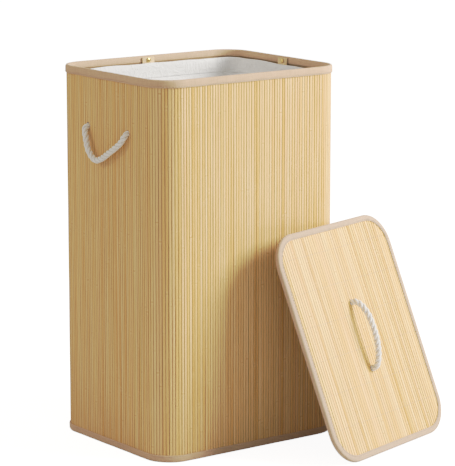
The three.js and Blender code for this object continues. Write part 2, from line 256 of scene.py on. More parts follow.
def smooth_route(points, step):
    """Points a step apart on the centripetal Catmull-Rom curve through the points."""
    points = np.asarray(points, float)
    ends = 2 * points[0] - points[1], 2 * points[-1] - points[-2]
    p = np.vstack([ends[0], points, ends[1]])
    knots = distances(p, 0.5)
    line = []
    for i in range(1, len(p) - 2):
        k = knots[i - 1:i + 3]
        for t in np.linspace(k[1], k[2], CURVE_STEPS, endpoint=False):
            a = [partway(p[i + j - 1], p[i + j], k[j], k[j + 1], t) for j in range(3)]
            b = [partway(a[j], a[j + 1], k[j], k[j + 2], t) for j in range(2)]
            line.append(partway(b[0], b[1], k[1], k[2], t))
    line = np.array(line + [p[-2]])
    along = distances(line)
    at = np.linspace(0, along[-1], max(4, round(along[-1] / step)))
    return np.stack([np.interp(at, along, line[:, k]) for k in range(3)], axis=1)


def full_turn(steps):
    return np.linspace(0, 2 * math.pi, steps, endpoint=False)


def cross_directions(line):
    """Two directions square to the line at each point, carried along without twist."""
    ahead = np.gradient(line, axis=0)
    ahead /= np.linalg.norm(ahead, axis=1)[:, None]
    side = np.cross(ahead[0], [0.31, 0.52, 0.79])
    sides = []
    for direction in ahead:
        side = side - direction * (side @ direction)
        side = side / np.linalg.norm(side)
        sides.append(side)
    sides = np.array(sides)
    return sides, np.cross(ahead, sides)


def laid_rope(line, width, lay, strand_radius):
    """Points, faces and numbers of a rope of three strands round a line."""
    sides, ups = cross_directions(line)
    along = distances(line)
    turn = full_turn(STRAND_SIDES)
    points, faces, rounds = [], [], []
    for strand in range(3):
        phase = 2 * math.pi * (strand / 3 + along / lay)
        out = np.cos(phase)[:, None] * sides + np.sin(phase)[:, None] * ups
        middle = line + out * (width / 2 - strand_radius)
        across, over = cross_directions(middle)
        first = len(points) * len(line) * STRAND_SIDES
        rings = middle[:, None] + strand_radius * (
            np.cos(turn)[None, :, None] * over[:, None]
            + np.sin(turn)[None, :, None] * across[:, None])
        points.append(rings.reshape(-1, 3))
        faces += tube_faces(len(line), STRAND_SIDES, first)
        from_line = (rings - line[:, None]) / strand_radius
        rounds.append(np.einsum("ijk,ik->ij", from_line, out).ravel())
    return np.vstack(points), faces, {"rope_facing": np.concatenate(rounds)}


# Yarns cross each strand on a slant; where a strand turns in to its neighbours it is
# darkened with painted shade.
def cotton_yarns(tree):
    place = own_place(tree)
    yarns = node(tree, "TexWave", {
        "Vector": place, "Scale": 330.0, "Distortion": 2.5, "Detail": 2.0, "Detail Scale": 3.0},
        wave_type="BANDS", bands_direction="DIAGONAL").outputs["Fac"]
    fuzz = noise(place, 900.0, 4.0)
    # Painted shade: the strands darken where they turn in towards the rope's middle.
    depth = ramp(carried(tree, "rope_facing"), 0.0, 1.0, 0.25, 1.45)
    colour = blend_colours(depth, *COTTON_GROOVE_SHADE_AND_CROWN)
    speck = ramp(fuzz, 0.82, 1.08, 0.3, 0.7)
    specks = node(tree, "CombineColor", {0: speck, 1: speck, 2: speck}).outputs[0]
    colour = blend_colours(1.0, colour, specks, "MULTIPLY")
    lift = reckon("ADD", times(yarns, 0.7), times(fuzz, 0.3))
    return {"Base Color": colour, "Normal": raised(lift, 0.0004)}


cotton_rope = coat("cotton_rope", cotton_yarns, Roughness=0.92, Sheen_Weight=0.25,
                   Sheen_Roughness=0.5)


def rope_handle(name, route, loop_node):
    """A rope along a smooth line through the route's points; the loop node it replaces is hidden."""
    line = smooth_route(route, ROPE_STEP)
    points, faces, numbers = laid_rope(line, ROPE, ROPE_LAY, STRAND_RADIUS)
    rope = new_piece(name, points, faces, cotton_rope, numbers)
    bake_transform(rope)
    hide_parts(loop_node)
    return rope


WALL_THROUGH = 0.0062  # how far in behind the outside the rope starts
for side, label in ((-1, "left"), (1, "right")):
    wall_x, hinge_x = side * half_width, side * (half_width + ROPE_STANDOFF)
    inner_x = side * (half_width - WALL_THROUGH)
    loop = [(hinge_x + side * off * LOOP_BELLY, along * HANDLE_HALF_SPAN,
             HOLE_HEIGHT - down * LOOP_SAG) for along, down, off in LOOP_SHAPE]
    mouth = [(inner_x, 0), (wall_x - side * 0.0012, 0.0004), (wall_x + side * 0.0032, 0.003)]
    into_back, into_front = ([(x, y, HOLE_HEIGHT - drop) for x, drop in mouth]
                             for y in (HANDLE_HALF_SPAN, -HANDLE_HALF_SPAN))
    route = into_back + loop + into_front[::-1]
    rope_handle(f"{label}_rope", route,
                f"{label}_handle")

LID_THROUGH = 0.001  # height of the rope's start over the lid's underside
LID_FACE = 0.008
lid_loop = [(0, along * HANDLE_HALF_SPAN, LID_HINGE_HEIGHT + off * LID_LOOP_RISE)
            for along, off in LID_LOOP_SHAPE]
lid_route = [(0, HANDLE_HALF_SPAN, LID_THROUGH), (0, HANDLE_HALF_SPAN, LID_FACE)]
lid_route += lid_loop
lid_route += [(0, -HANDLE_HALF_SPAN, LID_FACE), (0, -HANDLE_HALF_SPAN, LID_THROUGH)]
rope_handle("lid_rope", [lid_place @ Vector(p) for p in lid_route],
            "lid_handle")

# ---- Rope knots ----------
# An overhand knot drawn tight on each rope end, with a short cut tail, bearing on the
# fibre patch behind the wall or on the washer under the lid.
KNOT_DEPTH = 0.013
KNOT_LOOP = 0.0021  # size of the knot's three turns
KNOT_ROPE = 0.0066  # the rope is squeezed where it is drawn tight
KNOT_STRAND = 0.0018
KNOT_LAY = 0.018
KNOT_STEP = 0.0009
KNOT_SWELL = 0.0029  # how far its turns go up and down
KNOT_INSET = 0.0064  # the wall knots' start, from the outside
KNOT_UNDER = 0.0006  # the lid knots' start, below the lid


def overhand_knot(name, place, body, stands_for):
    """A knot made along -Z from the place, where the rope comes out of its hole."""
    turn = np.linspace(0.15, 2 * math.pi - 0.15, 70)
    x = np.sin(turn) + 2 * np.sin(2 * turn)
    y = np.cos(turn) - 2 * np.cos(2 * turn)
    z = -KNOT_DEPTH / 2 + KNOT_SWELL * np.sin(3 * turn)
    turns = np.stack([x * KNOT_LOOP, y * KNOT_LOOP, z], axis=1)
    entry = [(0, 0, 0.0005), (0, -0.0008, -0.0015)]
    tail = [turns[-1] + np.array([0.002, -0.0015, -0.001])]
    line = smooth_route(np.vstack([entry, turns[::3], tail]), KNOT_STEP)
    points, faces, numbers = laid_rope(line, KNOT_ROPE, KNOT_LAY, KNOT_STRAND)
    settle(new_piece(name, points, faces, cotton_rope, numbers, place), body, "cotton_rope",
           stands_for)


for side, label in ((-1, "left"), (1, "right")):
    for where, y in (("front", -HANDLE_HALF_SPAN), ("back", HANDLE_HALF_SPAN)):
        spot = Matrix.Translation((side * (half_width - KNOT_INSET), y, HOLE_HEIGHT))
        inwards = Matrix.Rotation(side * math.pi / 2, 4, "Y")
        overhand_knot(f"{label}_knot_{where}", spot @ inwards, "hamper",
                      f"{label}_rope_end_{where}")
for where, y in (("lower", -HANDLE_HALF_SPAN), ("upper", HANDLE_HALF_SPAN)):
    overhand_knot(f"lid_knot_{where}", lid_place @ Matrix.Translation((0, y, -KNOT_UNDER)),
                  "lid", f"lid_rope_end_{where}")

# ---- Bamboo wall ----------
# A mat of split bamboo, about 240 slats stood side by side round the hamper and glued to
# a backing cloth. Each slat is a thin strip with a slightly crowned skin; the slats that
# the ropes pass through are drilled.
CORNER_RADIUS = 0.045
SLAT_PITCH = 0.005
SLAT_WIDTH = 0.00472
SLAT_THICKNESS = 0.0018
MAT_MIDDLE = 0.0022  # inset of the mat's middle from the outside
WALL_BOTTOM, WALL_TOP = 0.0045, 0.5955
SLAT_RINGS = 12
DRILL_RADIUS = 0.0054
SLAT_END = 0.0004  # the square corner at a slat's end
BAMBOO_PALE = (0.98, 0.72, 0.385, 1)
BAMBOO_HONEY = (0.90, 0.55, 0.21, 1)
BAMBOO_DEEP = (0.62, 0.315, 0.09, 1)
BAMBOO_PINK = (0.94, 0.585, 0.31, 1)
BAMBOO_GREEN = (0.80, 0.565, 0.21, 1)
# Painted shade for the grooves between slats.
GROOVE_PAINTED_SHADE = (0.42, 0.25, 0.09, 1)
SLAT_SHADES = (
    (0.0, BAMBOO_DEEP), (0.12, BAMBOO_HONEY), (0.34, BAMBOO_PALE), (0.52, BAMBOO_HONEY),
    (0.68, BAMBOO_PINK), (0.84, BAMBOO_PALE), (1.0, BAMBOO_GREEN))
WALL_LEAN = math.radians(2.2)  # how unevenly the slats are turned
WALL_WOBBLE = 0.00007

# A share across a slat's section (-1 to 1) and a height over its middle (in thicknesses).
SLAT_SECTION = np.array([
    (-1.0, -0.5), (1.0, -0.5), (1.0, 0.16), (0.93, 0.31), (0.76, 0.40), (0.4, 0.47),
    (0.0, 0.5), (-0.4, 0.47), (-0.76, 0.40), (-0.93, 0.31), (-1.0, 0.16),
])


def round_outline(half_x, half_y, radius, at):
    """Points and outward directions at distances along a rectangle with round corners.
    It starts in the middle of the +Y side and runs counter-clockwise."""
    flat_x, flat_y = half_x - radius, half_y - radius
    arc = radius * math.pi / 2
    legs = [flat_x, arc, 2 * flat_y, arc, 2 * flat_x, arc, 2 * flat_y, arc, flat_x]
    at = np.asarray(at, float) % sum(legs)
    points, outward = np.zeros((len(at), 2)), np.zeros((len(at), 2))
    corner = np.array([0.0, flat_y])
    angle, start = math.pi / 2, 0.0
    for number, leg in enumerate(legs):
        here = (at >= start) & (at <= start + leg)
        gone = at[here] - start
        if number % 2:
            turned = angle + gone / radius
            angle += math.pi / 2
            middle = corner[None] + np.zeros((len(gone), 1))
        else:
            turned = np.full(len(gone), angle)
            step = np.array([-math.sin(angle), math.cos(angle)])
            middle = corner + gone[:, None] * step
            corner = corner + leg * step
        facing = np.stack([np.cos(turned), np.sin(turned)], axis=1)
        points[here], outward[here] = middle + radius * facing, facing
        start += leg
    return points, outward


def outline_length(half_x, half_y, radius):
    return 4 * (half_x + half_y - 2 * radius) + 2 * math.pi * radius


def slat_stretches(across, low, high, holes):
    """The stretches of a slat between its two ends and the holes drilled through it."""
    cuts = [low]
    for hole_across, hole_along in holes:
        reach = DRILL_RADIUS ** 2 - (across - hole_across) ** 2
        if (reach > 0).any():
            half = np.sqrt(np.maximum(reach, 0))
            cuts += [hole_along - half, hole_along + half]
    cuts.append(high)
    return list(zip(cuts[0::2], cuts[1::2]))


def slat_mat(slats, section, wobble, luck):
    """Points, faces and numbers of a mat. A slat is its frame (origin, across, out,
    along), its half width, its thickness and its stretches."""
    points, faces, numbers = [], [], {"slat": [], "slat_along": [], "slat_across": []}
    first = 0
    columns = len(section)
    for index, (spot, across, out, along, half, thick, stretches) in enumerate(slats):
        waves = luck.uniform(0, 2 * math.pi, 4)
        for low, high in stretches:
            length = float((high - low).mean())
            rings = max(3, round(SLAT_RINGS * length / height))
            end = SLAT_END / length
            share = np.concatenate([[0], np.linspace(end, 1 - end, rings), [1]])[:, None]
            rings += 2
            run = low[None] * (1 - share) + high[None] * share
            sway = wobble * (np.sin(run * 11 + waves[0]) + 0.5 * np.sin(run * 29 + waves[1]))
            swell = wobble * 0.6 * (np.sin(run * 17 + waves[2]) + np.sin(run * 41 + waves[3]))
            sideways = section[:, 0] * half + sway
            upwards = section[:, 1] * thick + swell
            ring = (spot + sideways[..., None] * across + upwards[..., None] * out
                    + run[..., None] * along)
            points.append(ring.reshape(-1, 3))
            faces += tube_faces(rings, columns, first)
            numbers["slat"].append(np.full(rings * columns, index))
            numbers["slat_along"].append(run.ravel())
            numbers["slat_across"].append(np.tile(section[:, 0], rings))
            first += rings * columns
    return np.vstack(points), faces, {k: np.concatenate(v) for k, v in numbers.items()}


# The grain of one slat: its own tone, fine lengthways streaks, a knuckle mark every
# quarter of a metre and painted shade in the grooves at its two edges.
grain, given, wanted = effect(
    "bamboo_grain",
    {"Slat": 0.0, "Along": 0.0, "Across": 0.0, "Streaks": 0.85, "Shades": 0.9},
    {"Colour": "Color", "Roughness": "Float", "Lift": "Float"})
slat, along, across = given["Slat"], given["Along"], given["Across"]
chance = node(grain, "TexWhiteNoise", {"W": slat}, noise_dimensions="1D")
lots = node(grain, "SeparateColor", {0: chance.outputs["Color"]}).outputs
shades = node(grain, "ValToRGB", {0: chance.outputs["Value"]})
elements = shades.color_ramp.elements
while len(elements) < len(SLAT_SHADES):
    elements.new(0.5)
for element, (position, shade) in zip(elements, SLAT_SHADES):
    element.position = position
    element.color = shade
shade = blend_colours(given["Shades"], BAMBOO_HONEY, shades.outputs["Color"])
fibre_spot = join_numbers(
    times(across, 2.6), times(along, 9.0), times(slat, 7.3))
fibres = noise(fibre_spot, 2.2, 5.0, Roughness=0.65)
streak_spot = join_numbers(
    times(across, 0.9), times(along, 4.0), times(slat, 3.7))
streaks = noise(streak_spot, 1.0, 2.0)
dim = times(ramp(fibres, 1.0, 0.0, 0.25, 0.75), given["Streaks"])
shade = blend_colours(dim, shade, BAMBOO_DEEP)
drift = ramp(streaks, 0.0, 0.5, 0.45, 0.72)
shade = blend_colours(drift, shade, BAMBOO_PALE)
spacing = ramp(lots[1], 0.21, 0.31)
offset = times(lots[0], 0.3)
knuckle_run = reckon("DIVIDE", reckon("ADD", along, offset), spacing)
off_knuckle = reckon("SUBTRACT", reckon("FRACT", knuckle_run), 0.5)
from_knuckle = times(spacing, reckon("ABSOLUTE", off_knuckle))
mark = ramp(from_knuckle, 1.0, 0.0, 0.0, 0.0016)
halo = ramp(from_knuckle, 1.0, 0.0, 0.0015, 0.006)
seen = ramp(lots[2], 0.1, 0.85)
pale = times(halo, times(seen, 0.35))
shade = blend_colours(pale, shade, BAMBOO_PALE)
shade = blend_colours(times(mark, seen), shade, BAMBOO_DEEP)
# Painted shade: each slat darkens towards its two edges, in the grooves between slats.
edge = ramp(reckon("ABSOLUTE", across), 0.0, 0.9, 0.7, 1.0)
shade = blend_colours(edge, shade, GROOVE_PAINTED_SHADE)
grain.links.new(shade, wanted["Colour"])
grain.links.new(ramp(fibres, 0.36, 0.56), wanted["Roughness"])
lift = reckon("ADD", fibres, times(mark, 1.5))
grain.links.new(lift, wanted["Lift"])


def split_bamboo(tree):
    looks = node(tree, "Group", {
        "Slat": carried(tree, "slat"), "Along": carried(tree, "slat_along"),
        "Across": carried(tree, "slat_across")}, node_tree=grain).outputs
    return {"Base Color": looks["Colour"], "Roughness": looks["Roughness"],
            "Normal": raised(looks["Lift"], 0.00012)}


bamboo = coat("split_bamboo", split_bamboo, Specular_IOR_Level=0.35)

luck = np.random.default_rng(11)
wall_outline = (half_width, half_depth, CORNER_RADIUS)
slat_line = tuple(size - MAT_MIDDLE for size in wall_outline)
round_trip = outline_length(*slat_line)
slat_count = round(round_trip / SLAT_PITCH)
stands_at = (np.arange(slat_count) + 0.5) * round_trip / slat_count
stands, faces_out = round_outline(*slat_line, stands_at)
slats = []
for stand, facing in zip(stands, faces_out):
    lean = luck.normal(0, WALL_LEAN)
    out = np.array([facing[0], facing[1], 0.0])
    across = np.array([-facing[1], facing[0], 0.0])
    out, across = (out * math.cos(lean) + across * math.sin(lean),
                   across * math.cos(lean) - out * math.sin(lean))
    spot = np.array([stand[0], stand[1], 0.0]) + out * luck.uniform(-0.00012, 0.00012)
    half = SLAT_WIDTH / 2 * luck.uniform(0.96, 1.02)
    thick = SLAT_THICKNESS * luck.uniform(0.94, 1.03)
    level = np.zeros(len(SLAT_SECTION))
    holes = []
    if abs(facing[0]) > 0.99:
        holes = [(y - stand[1] if across[1] > 0 else stand[1] - y, HOLE_HEIGHT)
                 for y in (-HANDLE_HALF_SPAN, HANDLE_HALF_SPAN)]
    stretches = slat_stretches(SLAT_SECTION[:, 0] * half, level + WALL_BOTTOM,
                               level + WALL_TOP, holes)
    slats.append((spot, across, out, np.array([0.0, 0.0, 1.0]), half, thick, stretches))
points, faces, numbers = slat_mat(slats, SLAT_SECTION, WALL_WOBBLE, luck)
settle(new_piece("bamboo_slats", points, faces, bamboo, numbers), "hamper", "bamboo",
       "bamboo_wall")

# ---- Rim and base tapes ----------
# Woven cotton tape folded over the mat's top edge and under its bottom edge, round a flat
# steel hoop. It is sewn through with a straight stitch close to its lower edge.
TAPE_SHADES = ((0.49, 0.32, 0.195, 1), (0.74, 0.51, 0.33, 1))
THREAD = (0.70, 0.55, 0.40, 1)
TAPE_STEPS = 360
WEAVE_PITCH = 0.0009
STITCH_LENGTH = 0.0034
STITCH_PITCH = 0.0046
STITCH_WIDTH = 0.0007
STITCH_MARGIN = 0.0022  # from the tape's edge
STITCH_RINGS, STITCH_SIDES = 5, 6

# A plain weave: threads over and under each other, with thick and thin places in them.
weave, given, wanted = effect(
    "plain_weave",
    {"Along": 0.0, "Across": 0.0, "Pitch": 0.0009, "Light": (0.8, 0.8, 0.8, 1.0),
     "Dark": (0.5, 0.5, 0.5, 1.0), "Slub": 0.5},
    {"Colour": "Color", "Lift": "Float"})
warp = reckon("DIVIDE", given["Along"], given["Pitch"])
weft = reckon("DIVIDE", given["Across"], given["Pitch"])
waves = [reckon("SINE", times(run, math.pi)) for run in (warp, weft)]
crossing = ramp(times(*waves), 0.0, 1.0, -1.0, 1.0)
along_slub = noise(join_numbers(times(warp, 0.05), weft), 1.0, 2.0)
across_slub = noise(join_numbers(warp, times(weft, 0.05), 9.0), 1.0, 2.0)
slubs = ramp(reckon("ADD", along_slub, across_slub), 0.0, 1.0, 0.6, 1.4)
even = times(crossing, reckon("SUBTRACT", 1.0, given["Slub"]))
share = reckon("ADD", times(slubs, given["Slub"]), even)
weave.links.new(blend_colours(share, given["Dark"], given["Light"]), wanted["Colour"])
weave.links.new(reckon("ADD", crossing, times(slubs, 0.5)), wanted["Lift"])


def mesh_threads(tree):
    return carried(tree, "tape_along"), carried(tree, "tape_across")


def woven(shades, pitch, slub, depth, threads=mesh_threads):
    """What a woven cloth feeds to its shader; threads says where its threads run."""
    def build(tree):
        along, across = threads(tree)
        looks = node(tree, "Group", {
            "Along": along, "Across": across, "Pitch": pitch, "Light": shades[1],
            "Dark": shades[0], "Slub": slub}, node_tree=weave).outputs
        return {"Base Color": looks["Colour"], "Normal": raised(looks["Lift"], depth)}
    return build


tape = coat("woven_tape", woven(TAPE_SHADES, WEAVE_PITCH, 0.6, 0.00018),
            Roughness=0.9, Sheen_Weight=0.15)


def twisted_thread(tree):
    place = own_place(tree)
    turns = node(tree, "TexWave", {"Vector": place, "Scale": 900.0, "Distortion": 1.0},
                 wave_type="BANDS", bands_direction="DIAGONAL").outputs["Fac"]
    colour = blend_colours(turns, tuple(0.75 * c for c in THREAD[:3]) + (1,), THREAD)
    return {"Base Color": colour, "Normal": raised(turns, 0.0002)}


thread = coat("sewing_thread", twisted_thread, Roughness=0.7)


def swept(name, outline, profile, steps, material, body, stands_for, slot, place=None,
          waviness=None):
    """A closed section (inset, height) carried round an outline."""
    at = np.linspace(0, outline_length(*outline), steps, endpoint=False)
    stands, outward = round_outline(*outline, at)
    profile = np.asarray(profile, float)
    inset, up = (np.repeat(profile[:, k][None], steps, axis=0) for k in (0, 1))
    if waviness is not None:
        inset, up = waviness(at, inset, up)
    flat = stands[:, None] - outward[:, None] * inset[..., None]
    points = np.concatenate([flat, up[..., None]], axis=2)
    edges = np.linalg.norm(np.diff(profile, axis=0, append=profile[:1]), axis=1)
    numbers = {"tape_along": np.repeat(at, len(profile)),
               "tape_across": np.tile(np.concatenate([[0], np.cumsum(edges)[:-1]]), steps)}
    faces = ring_faces(steps, len(profile), rows_closed=True)
    piece = new_piece(name, points.reshape(-1, 3), faces, material, numbers, place)
    settle(piece, body, slot, stands_for)


def stitches_round(name, outline, inset, up, body, place=None, facing_up=False):
    """Short raised stitches round an outline, on its side or on its top face."""
    whole = outline_length(*outline)
    count = round(whole / STITCH_PITCH)
    stands, outward = round_outline(*outline, np.arange(count) * whole / count)
    turn = full_turn(STITCH_SIDES)[:, None]
    points, faces = [], []
    for (x, y), (out_x, out_y) in zip(stands - outward * inset, outward):
        direction = np.array([-out_y, out_x, 0.0])
        out = np.array([0.0, 0.0, math.copysign(1.0, up)] if facing_up else [out_x, out_y, 0.0])
        across = np.cross(direction, out)
        for t in np.linspace(-1, 1, STITCH_RINGS):
            girth = STITCH_WIDTH / 2 * math.sqrt(max(1 - 0.9 * t * t, 0))
            lift = STITCH_WIDTH * 0.25 * (1 - t * t)
            middle = np.array([x, y, up]) + direction * t * STITCH_LENGTH / 2 + out * lift
            points.append(middle + girth * (np.cos(turn) * across + np.sin(turn) * out))
        first = (len(points) - STITCH_RINGS) * STITCH_SIDES
        faces += tube_faces(STITCH_RINGS, STITCH_SIDES, first)
    settle(new_piece(name, np.vstack(points), faces, thread, None, place), body, "binding_tape")


RIM_LEG, RIM_INNER_LEG = 0.0125, 0.011
BASE_LEG, BASE_INNER_LEG = 0.0115, 0.010
BINDING_INSET = 0.0055
FOLD = 0.0019  # how far the tape's fold rounds off


def folded_section(edge, outer_leg, inner_leg, way):
    """A tape folded over an edge: down the outside, over the fold, down the inside."""
    def up(distance):
        return edge + way * distance
    outer = [(0.0009, up(-outer_leg)), (0.0003, up(-outer_leg)), (-0.0001, up(-outer_leg + 0.0006)),
             (-0.0004, up(-outer_leg * 0.6)), (-0.0003, up(-FOLD * 1.6)), (0.0002, up(-FOLD * 0.8)),
             (0.0011, up(-0.0003)), (BINDING_INSET / 2, up(0.0001)),
             (BINDING_INSET - 0.0011, up(-0.0004)), (BINDING_INSET - 0.0002, up(-FOLD))]
    inner = [(BINDING_INSET, up(-inner_leg * 0.6)), (BINDING_INSET, up(-inner_leg + 0.0004)),
             (BINDING_INSET - 0.0003, up(-inner_leg)), (BINDING_INSET - 0.0008, up(-inner_leg)),
             (BINDING_INSET - 0.0009, up(-0.0016)), (0.0010, up(-0.0016))]
    return outer + inner


def hand_sewn(at, inset, up):
    """The tape's fold is not quite even along its length."""
    ripple = 0.00016 * np.sin(at * 61)[:, None] + 0.00014 * np.sin(at * 143 + 1)[:, None]
    return inset + ripple * (inset < 0.003), up


swept("rim_tape", wall_outline, folded_section(height, RIM_LEG, RIM_INNER_LEG, 1),
      TAPE_STEPS, tape, "hamper", "rim_binding", "binding_tape", None, hand_sewn)
swept("base_tape", wall_outline, folded_section(0, BASE_LEG, BASE_INNER_LEG, -1)[::-1],
      TAPE_STEPS, tape, "hamper", "base_binding", "binding_tape", None, hand_sewn)
stitches_round("rim_stitches", wall_outline, -0.0003, height - RIM_LEG + STITCH_MARGIN, "hamper")
stitches_round("base_stitches", wall_outline, -0.0003, BASE_LEG - STITCH_MARGIN, "hamper")

# ---- Shell: what is hidden behind the mat ----------
# The backing cloth that the slats are glued to, the strip over the mat's butt joint, the
# bottom cloth, the loose bottom board, the fibre patches and the steel hoops. These keep
# their made shapes and get their own finishes.
BACKING_SHADES = ((0.26, 0.17, 0.09, 1), (0.42, 0.30, 0.18, 1))
BACKING_PITCH = 0.0011
BOARD_SHADES = ((0.20, 0.11, 0.05, 1), (0.36, 0.22, 0.11, 1))
STEEL_SHADES = ((0.38, 0.37, 0.36, 1), (0.60, 0.59, 0.57, 1))


def placed_threads(upright, turned=(0.0, 0.0, 0.0)):
    """Threads that run round upright walls and up them, or over a cloth that lies flat."""
    def threads(tree):
        level = node(tree, "Mapping", {"Vector": own_place(tree), "Rotation": turned})
        x, y, z = node(tree, "SeparateXYZ", {0: level.outputs[0]}).outputs
        return (reckon("ADD", x, y), z) if upright else (x, y)
    return threads


def pressed_fibres(tree):
    place = own_place(tree)
    flakes = node(tree, "TexVoronoi", {"Vector": place, "Scale": 420.0}).outputs["Color"]
    flake = node(tree, "SeparateColor", {0: flakes}).outputs[0]
    cloud = noise(place, 60.0, 6.0)
    share = reckon("ADD", times(flake, 0.5), times(cloud, 0.5))
    return {"Base Color": blend_colours(share, *BOARD_SHADES),
            "Roughness": ramp(cloud, 0.6, 0.9), "Normal": raised(flake, 0.0001)}


def drawn_steel(tree):
    place = own_place(tree)
    stretch = node(tree, "Mapping", {"Vector": place, "Scale": (20.0, 20.0, 3000.0)}).outputs[0]
    lines = noise(stretch, 1.0, 3.0)
    return {"Base Color": blend_colours(lines, *STEEL_SHADES),
            "Roughness": ramp(lines, 0.3, 0.5), "Normal": raised(lines, 0.00004)}


backing = (BACKING_SHADES, BACKING_PITCH, 0.6, 0.0002)
seam = (TAPE_SHADES, WEAVE_PITCH, 0.6, 0.0002)
upright, level = placed_threads(True), placed_threads(False)
lid_level = placed_threads(False, tuple(lid_turn.inverted().to_euler()))
for material, names in (
        (coat("backing_cloth", woven(*backing, upright), Roughness=0.95), ["wall_backing"]),
        (coat("bottom_cloth", woven(*backing, level), Roughness=0.95), ["base_cloth"]),
        (coat("lid_lining_cloth", woven(*backing, lid_level), Roughness=0.95), ["lid_lining"]),
        (coat("seam_tape_cloth", woven(*seam, upright), Roughness=0.9), ["back_seam_tape"]),
        (coat("hoop_steel", drawn_steel, Metallic=1.0), ["rim_hoop", "base_hoop"]),
        (coat("hardboard", pressed_fibres, Specular_IOR_Level=0.3), [
            "base_board", "left_handle_patch", "right_handle_patch", "lid_board",
            "lid_washer_lower", "lid_washer_upper"])):
    for name in names:
        finishes = frame["nodes"][name].data.materials
        finishes.clear()
        finishes.append(material)

# ---- Press studs and caps ----------
# Four small brass press studs riveted through the rim tape's inner leg, and the four caps
# on the liner's tabs that snap over them. Both are turned: a rolled edge round a dome.
BRASS_SHADES = ((0.50, 0.32, 0.12, 1), (0.80, 0.56, 0.24, 1))
STUD_HEIGHT = 0.593
STUD_INSET, STUD_WIDTH, STUD_DEPTH = 0.0058, 0.007, 0.0013
CAP_INSET, CAP_WIDTH, CAP_DEPTH = 0.0086, 0.0075, 0.0016
DOME = [(0, 0), (0.94, 0), (1.0, 0.18), (1.0, 0.42), (0.95, 0.62), (0.86, 0.7), (0.8, 0.62),
        (0.72, 0.66), (0.55, 0.86), (0.32, 0.97), (0.14, 1.0), (0.0, 1.0)]
DOME_STEPS = 40


def rubbed_brass(tree):
    place = own_place(tree)
    cloud = noise(place, 500.0, 5.0)
    scuffs = noise(place, 2500.0, 3.0)
    tarnish = ramp(cloud, 0.0, 1.0, 0.4, 0.75)
    return {"Base Color": blend_colours(tarnish, *reversed(BRASS_SHADES)),
            "Roughness": ramp(cloud, 0.18, 0.42), "Normal": raised(scuffs, 0.00002)}


brass = coat("rubbed_brass", rubbed_brass, Metallic=1.0)

WALLS = (("front", 0.0, half_depth), ("right", math.pi / 2, half_width),
         ("back", math.pi, half_depth), ("left", 1.5 * math.pi, half_width))


def on_wall(turn, reach, inset, up):
    """A place in the middle of a wall, with Y pointing to the hamper's inside."""
    return Matrix.Rotation(turn, 4, "Z") @ Matrix.Translation((0, -reach + inset, up))


def turned_button(name, wall, width, depth, inset, body, stands_for):
    """A dome turned about the line square to its wall, with its face to the inside."""
    where, turn, reach = wall
    around = full_turn(DOME_STEPS)
    rings = [np.column_stack([radius * width / 2 * np.cos(around), np.full(DOME_STEPS, lift * depth),
                              radius * width / 2 * np.sin(around)]) for radius, lift in DOME]
    faces = ring_faces(len(DOME), DOME_STEPS)
    spot = on_wall(turn, reach, inset, STUD_HEIGHT)
    button = new_piece(f"{name}_{where}", np.vstack(rings), faces, brass, None, spot)
    settle(button, body, "brass", f"{stands_for}_{where}")


for wall in WALLS:
    turned_button("stud", wall, STUD_WIDTH, STUD_DEPTH, STUD_INSET, "hamper", "press_stud")
    turned_button("cap", wall, CAP_WIDTH, CAP_DEPTH, CAP_INSET, "liner", "snap_cap")

# ---- Liner bag ----------
# A bag of thin off-white cotton, sewn from a neck, a shoulder, a tube and a bottom. It is
# held at its hem only, so below it draws in, sags and falls into soft folds.
LINER_SHADES = ((0.74, 0.735, 0.72, 1), (0.92, 0.915, 0.90, 1))
LINER_PITCH = 0.0007
LINER_THICKNESS = 0.0008
LINER_ROUND, LINER_FLOOR_RINGS = 420, 14
LINER_LEVELS = np.concatenate([
    np.linspace(0.5868, 0.562, 6), np.linspace(0.5585, 0.536, 8), np.linspace(0.529, 0.030, 46),
    [0.022, 0.0155, 0.0105, 0.0075, 0.0058]])
NECK_INSET, DRAWN_INSET, BOTTOM_INSET = 0.0099, 0.0228, 0.0262


def liner_inset(up):
    """How far the bag stands in from the hamper's outside at a height."""
    shoulder = np.clip((0.561 - up) / 0.022, 0, 1)
    shoulder = shoulder * shoulder * (3 - 2 * shoulder)
    drawn = DRAWN_INSET + (BOTTOM_INSET - DRAWN_INSET) * np.clip((0.539 - up) / 0.53, 0, 1)
    tucked = 0.010 * np.clip((0.022 - up) / 0.0165, 0, 1) ** 2
    return NECK_INSET + (drawn - NECK_INSET) * shoulder + tucked


def liner_folds(at, up, luck):
    """Soft upright folds that start under the hem and wander as they go down."""
    loose = np.clip((0.562 - up) / 0.10, 0, 1)[:, None]
    low = np.clip(up / 0.06, 0, 1)[:, None]
    fold = np.zeros((len(up), len(at)))
    whole = outline_length(*wall_outline)
    for count, depth in ((9, 1.0), (14, 0.8), (23, 0.55), (37, 0.3), (61, 0.14)):
        start = luck.uniform(0, 2 * math.pi)
        drift, sway = luck.uniform(-2.2, 2.2), luck.uniform(5, 11)
        slant = drift * up[:, None] + 0.5 * np.sin(sway * up[:, None] + start)
        wave = np.sin(2 * math.pi * count * at[None] / whole + start + slant)
        fade = 0.55 + 0.45 * np.sin(sway * 0.7 * up[:, None] + drift + at[None] * 5)
        fold += depth * wave * fade
    sag = np.zeros_like(fold)
    for level, depth in ((0.46, 0.5), (0.33, 0.7), (0.19, 0.8), (0.09, 0.9)):
        bend = level + 0.018 * np.sin(2 * math.pi * 4 * at[None] / whole + level * 40)
        sag += depth * np.exp(-((up[:, None] - bend) / 0.010) ** 2)
    return loose * low * (0.0016 * fold + 0.0012 * sag) + 0.0009 * loose


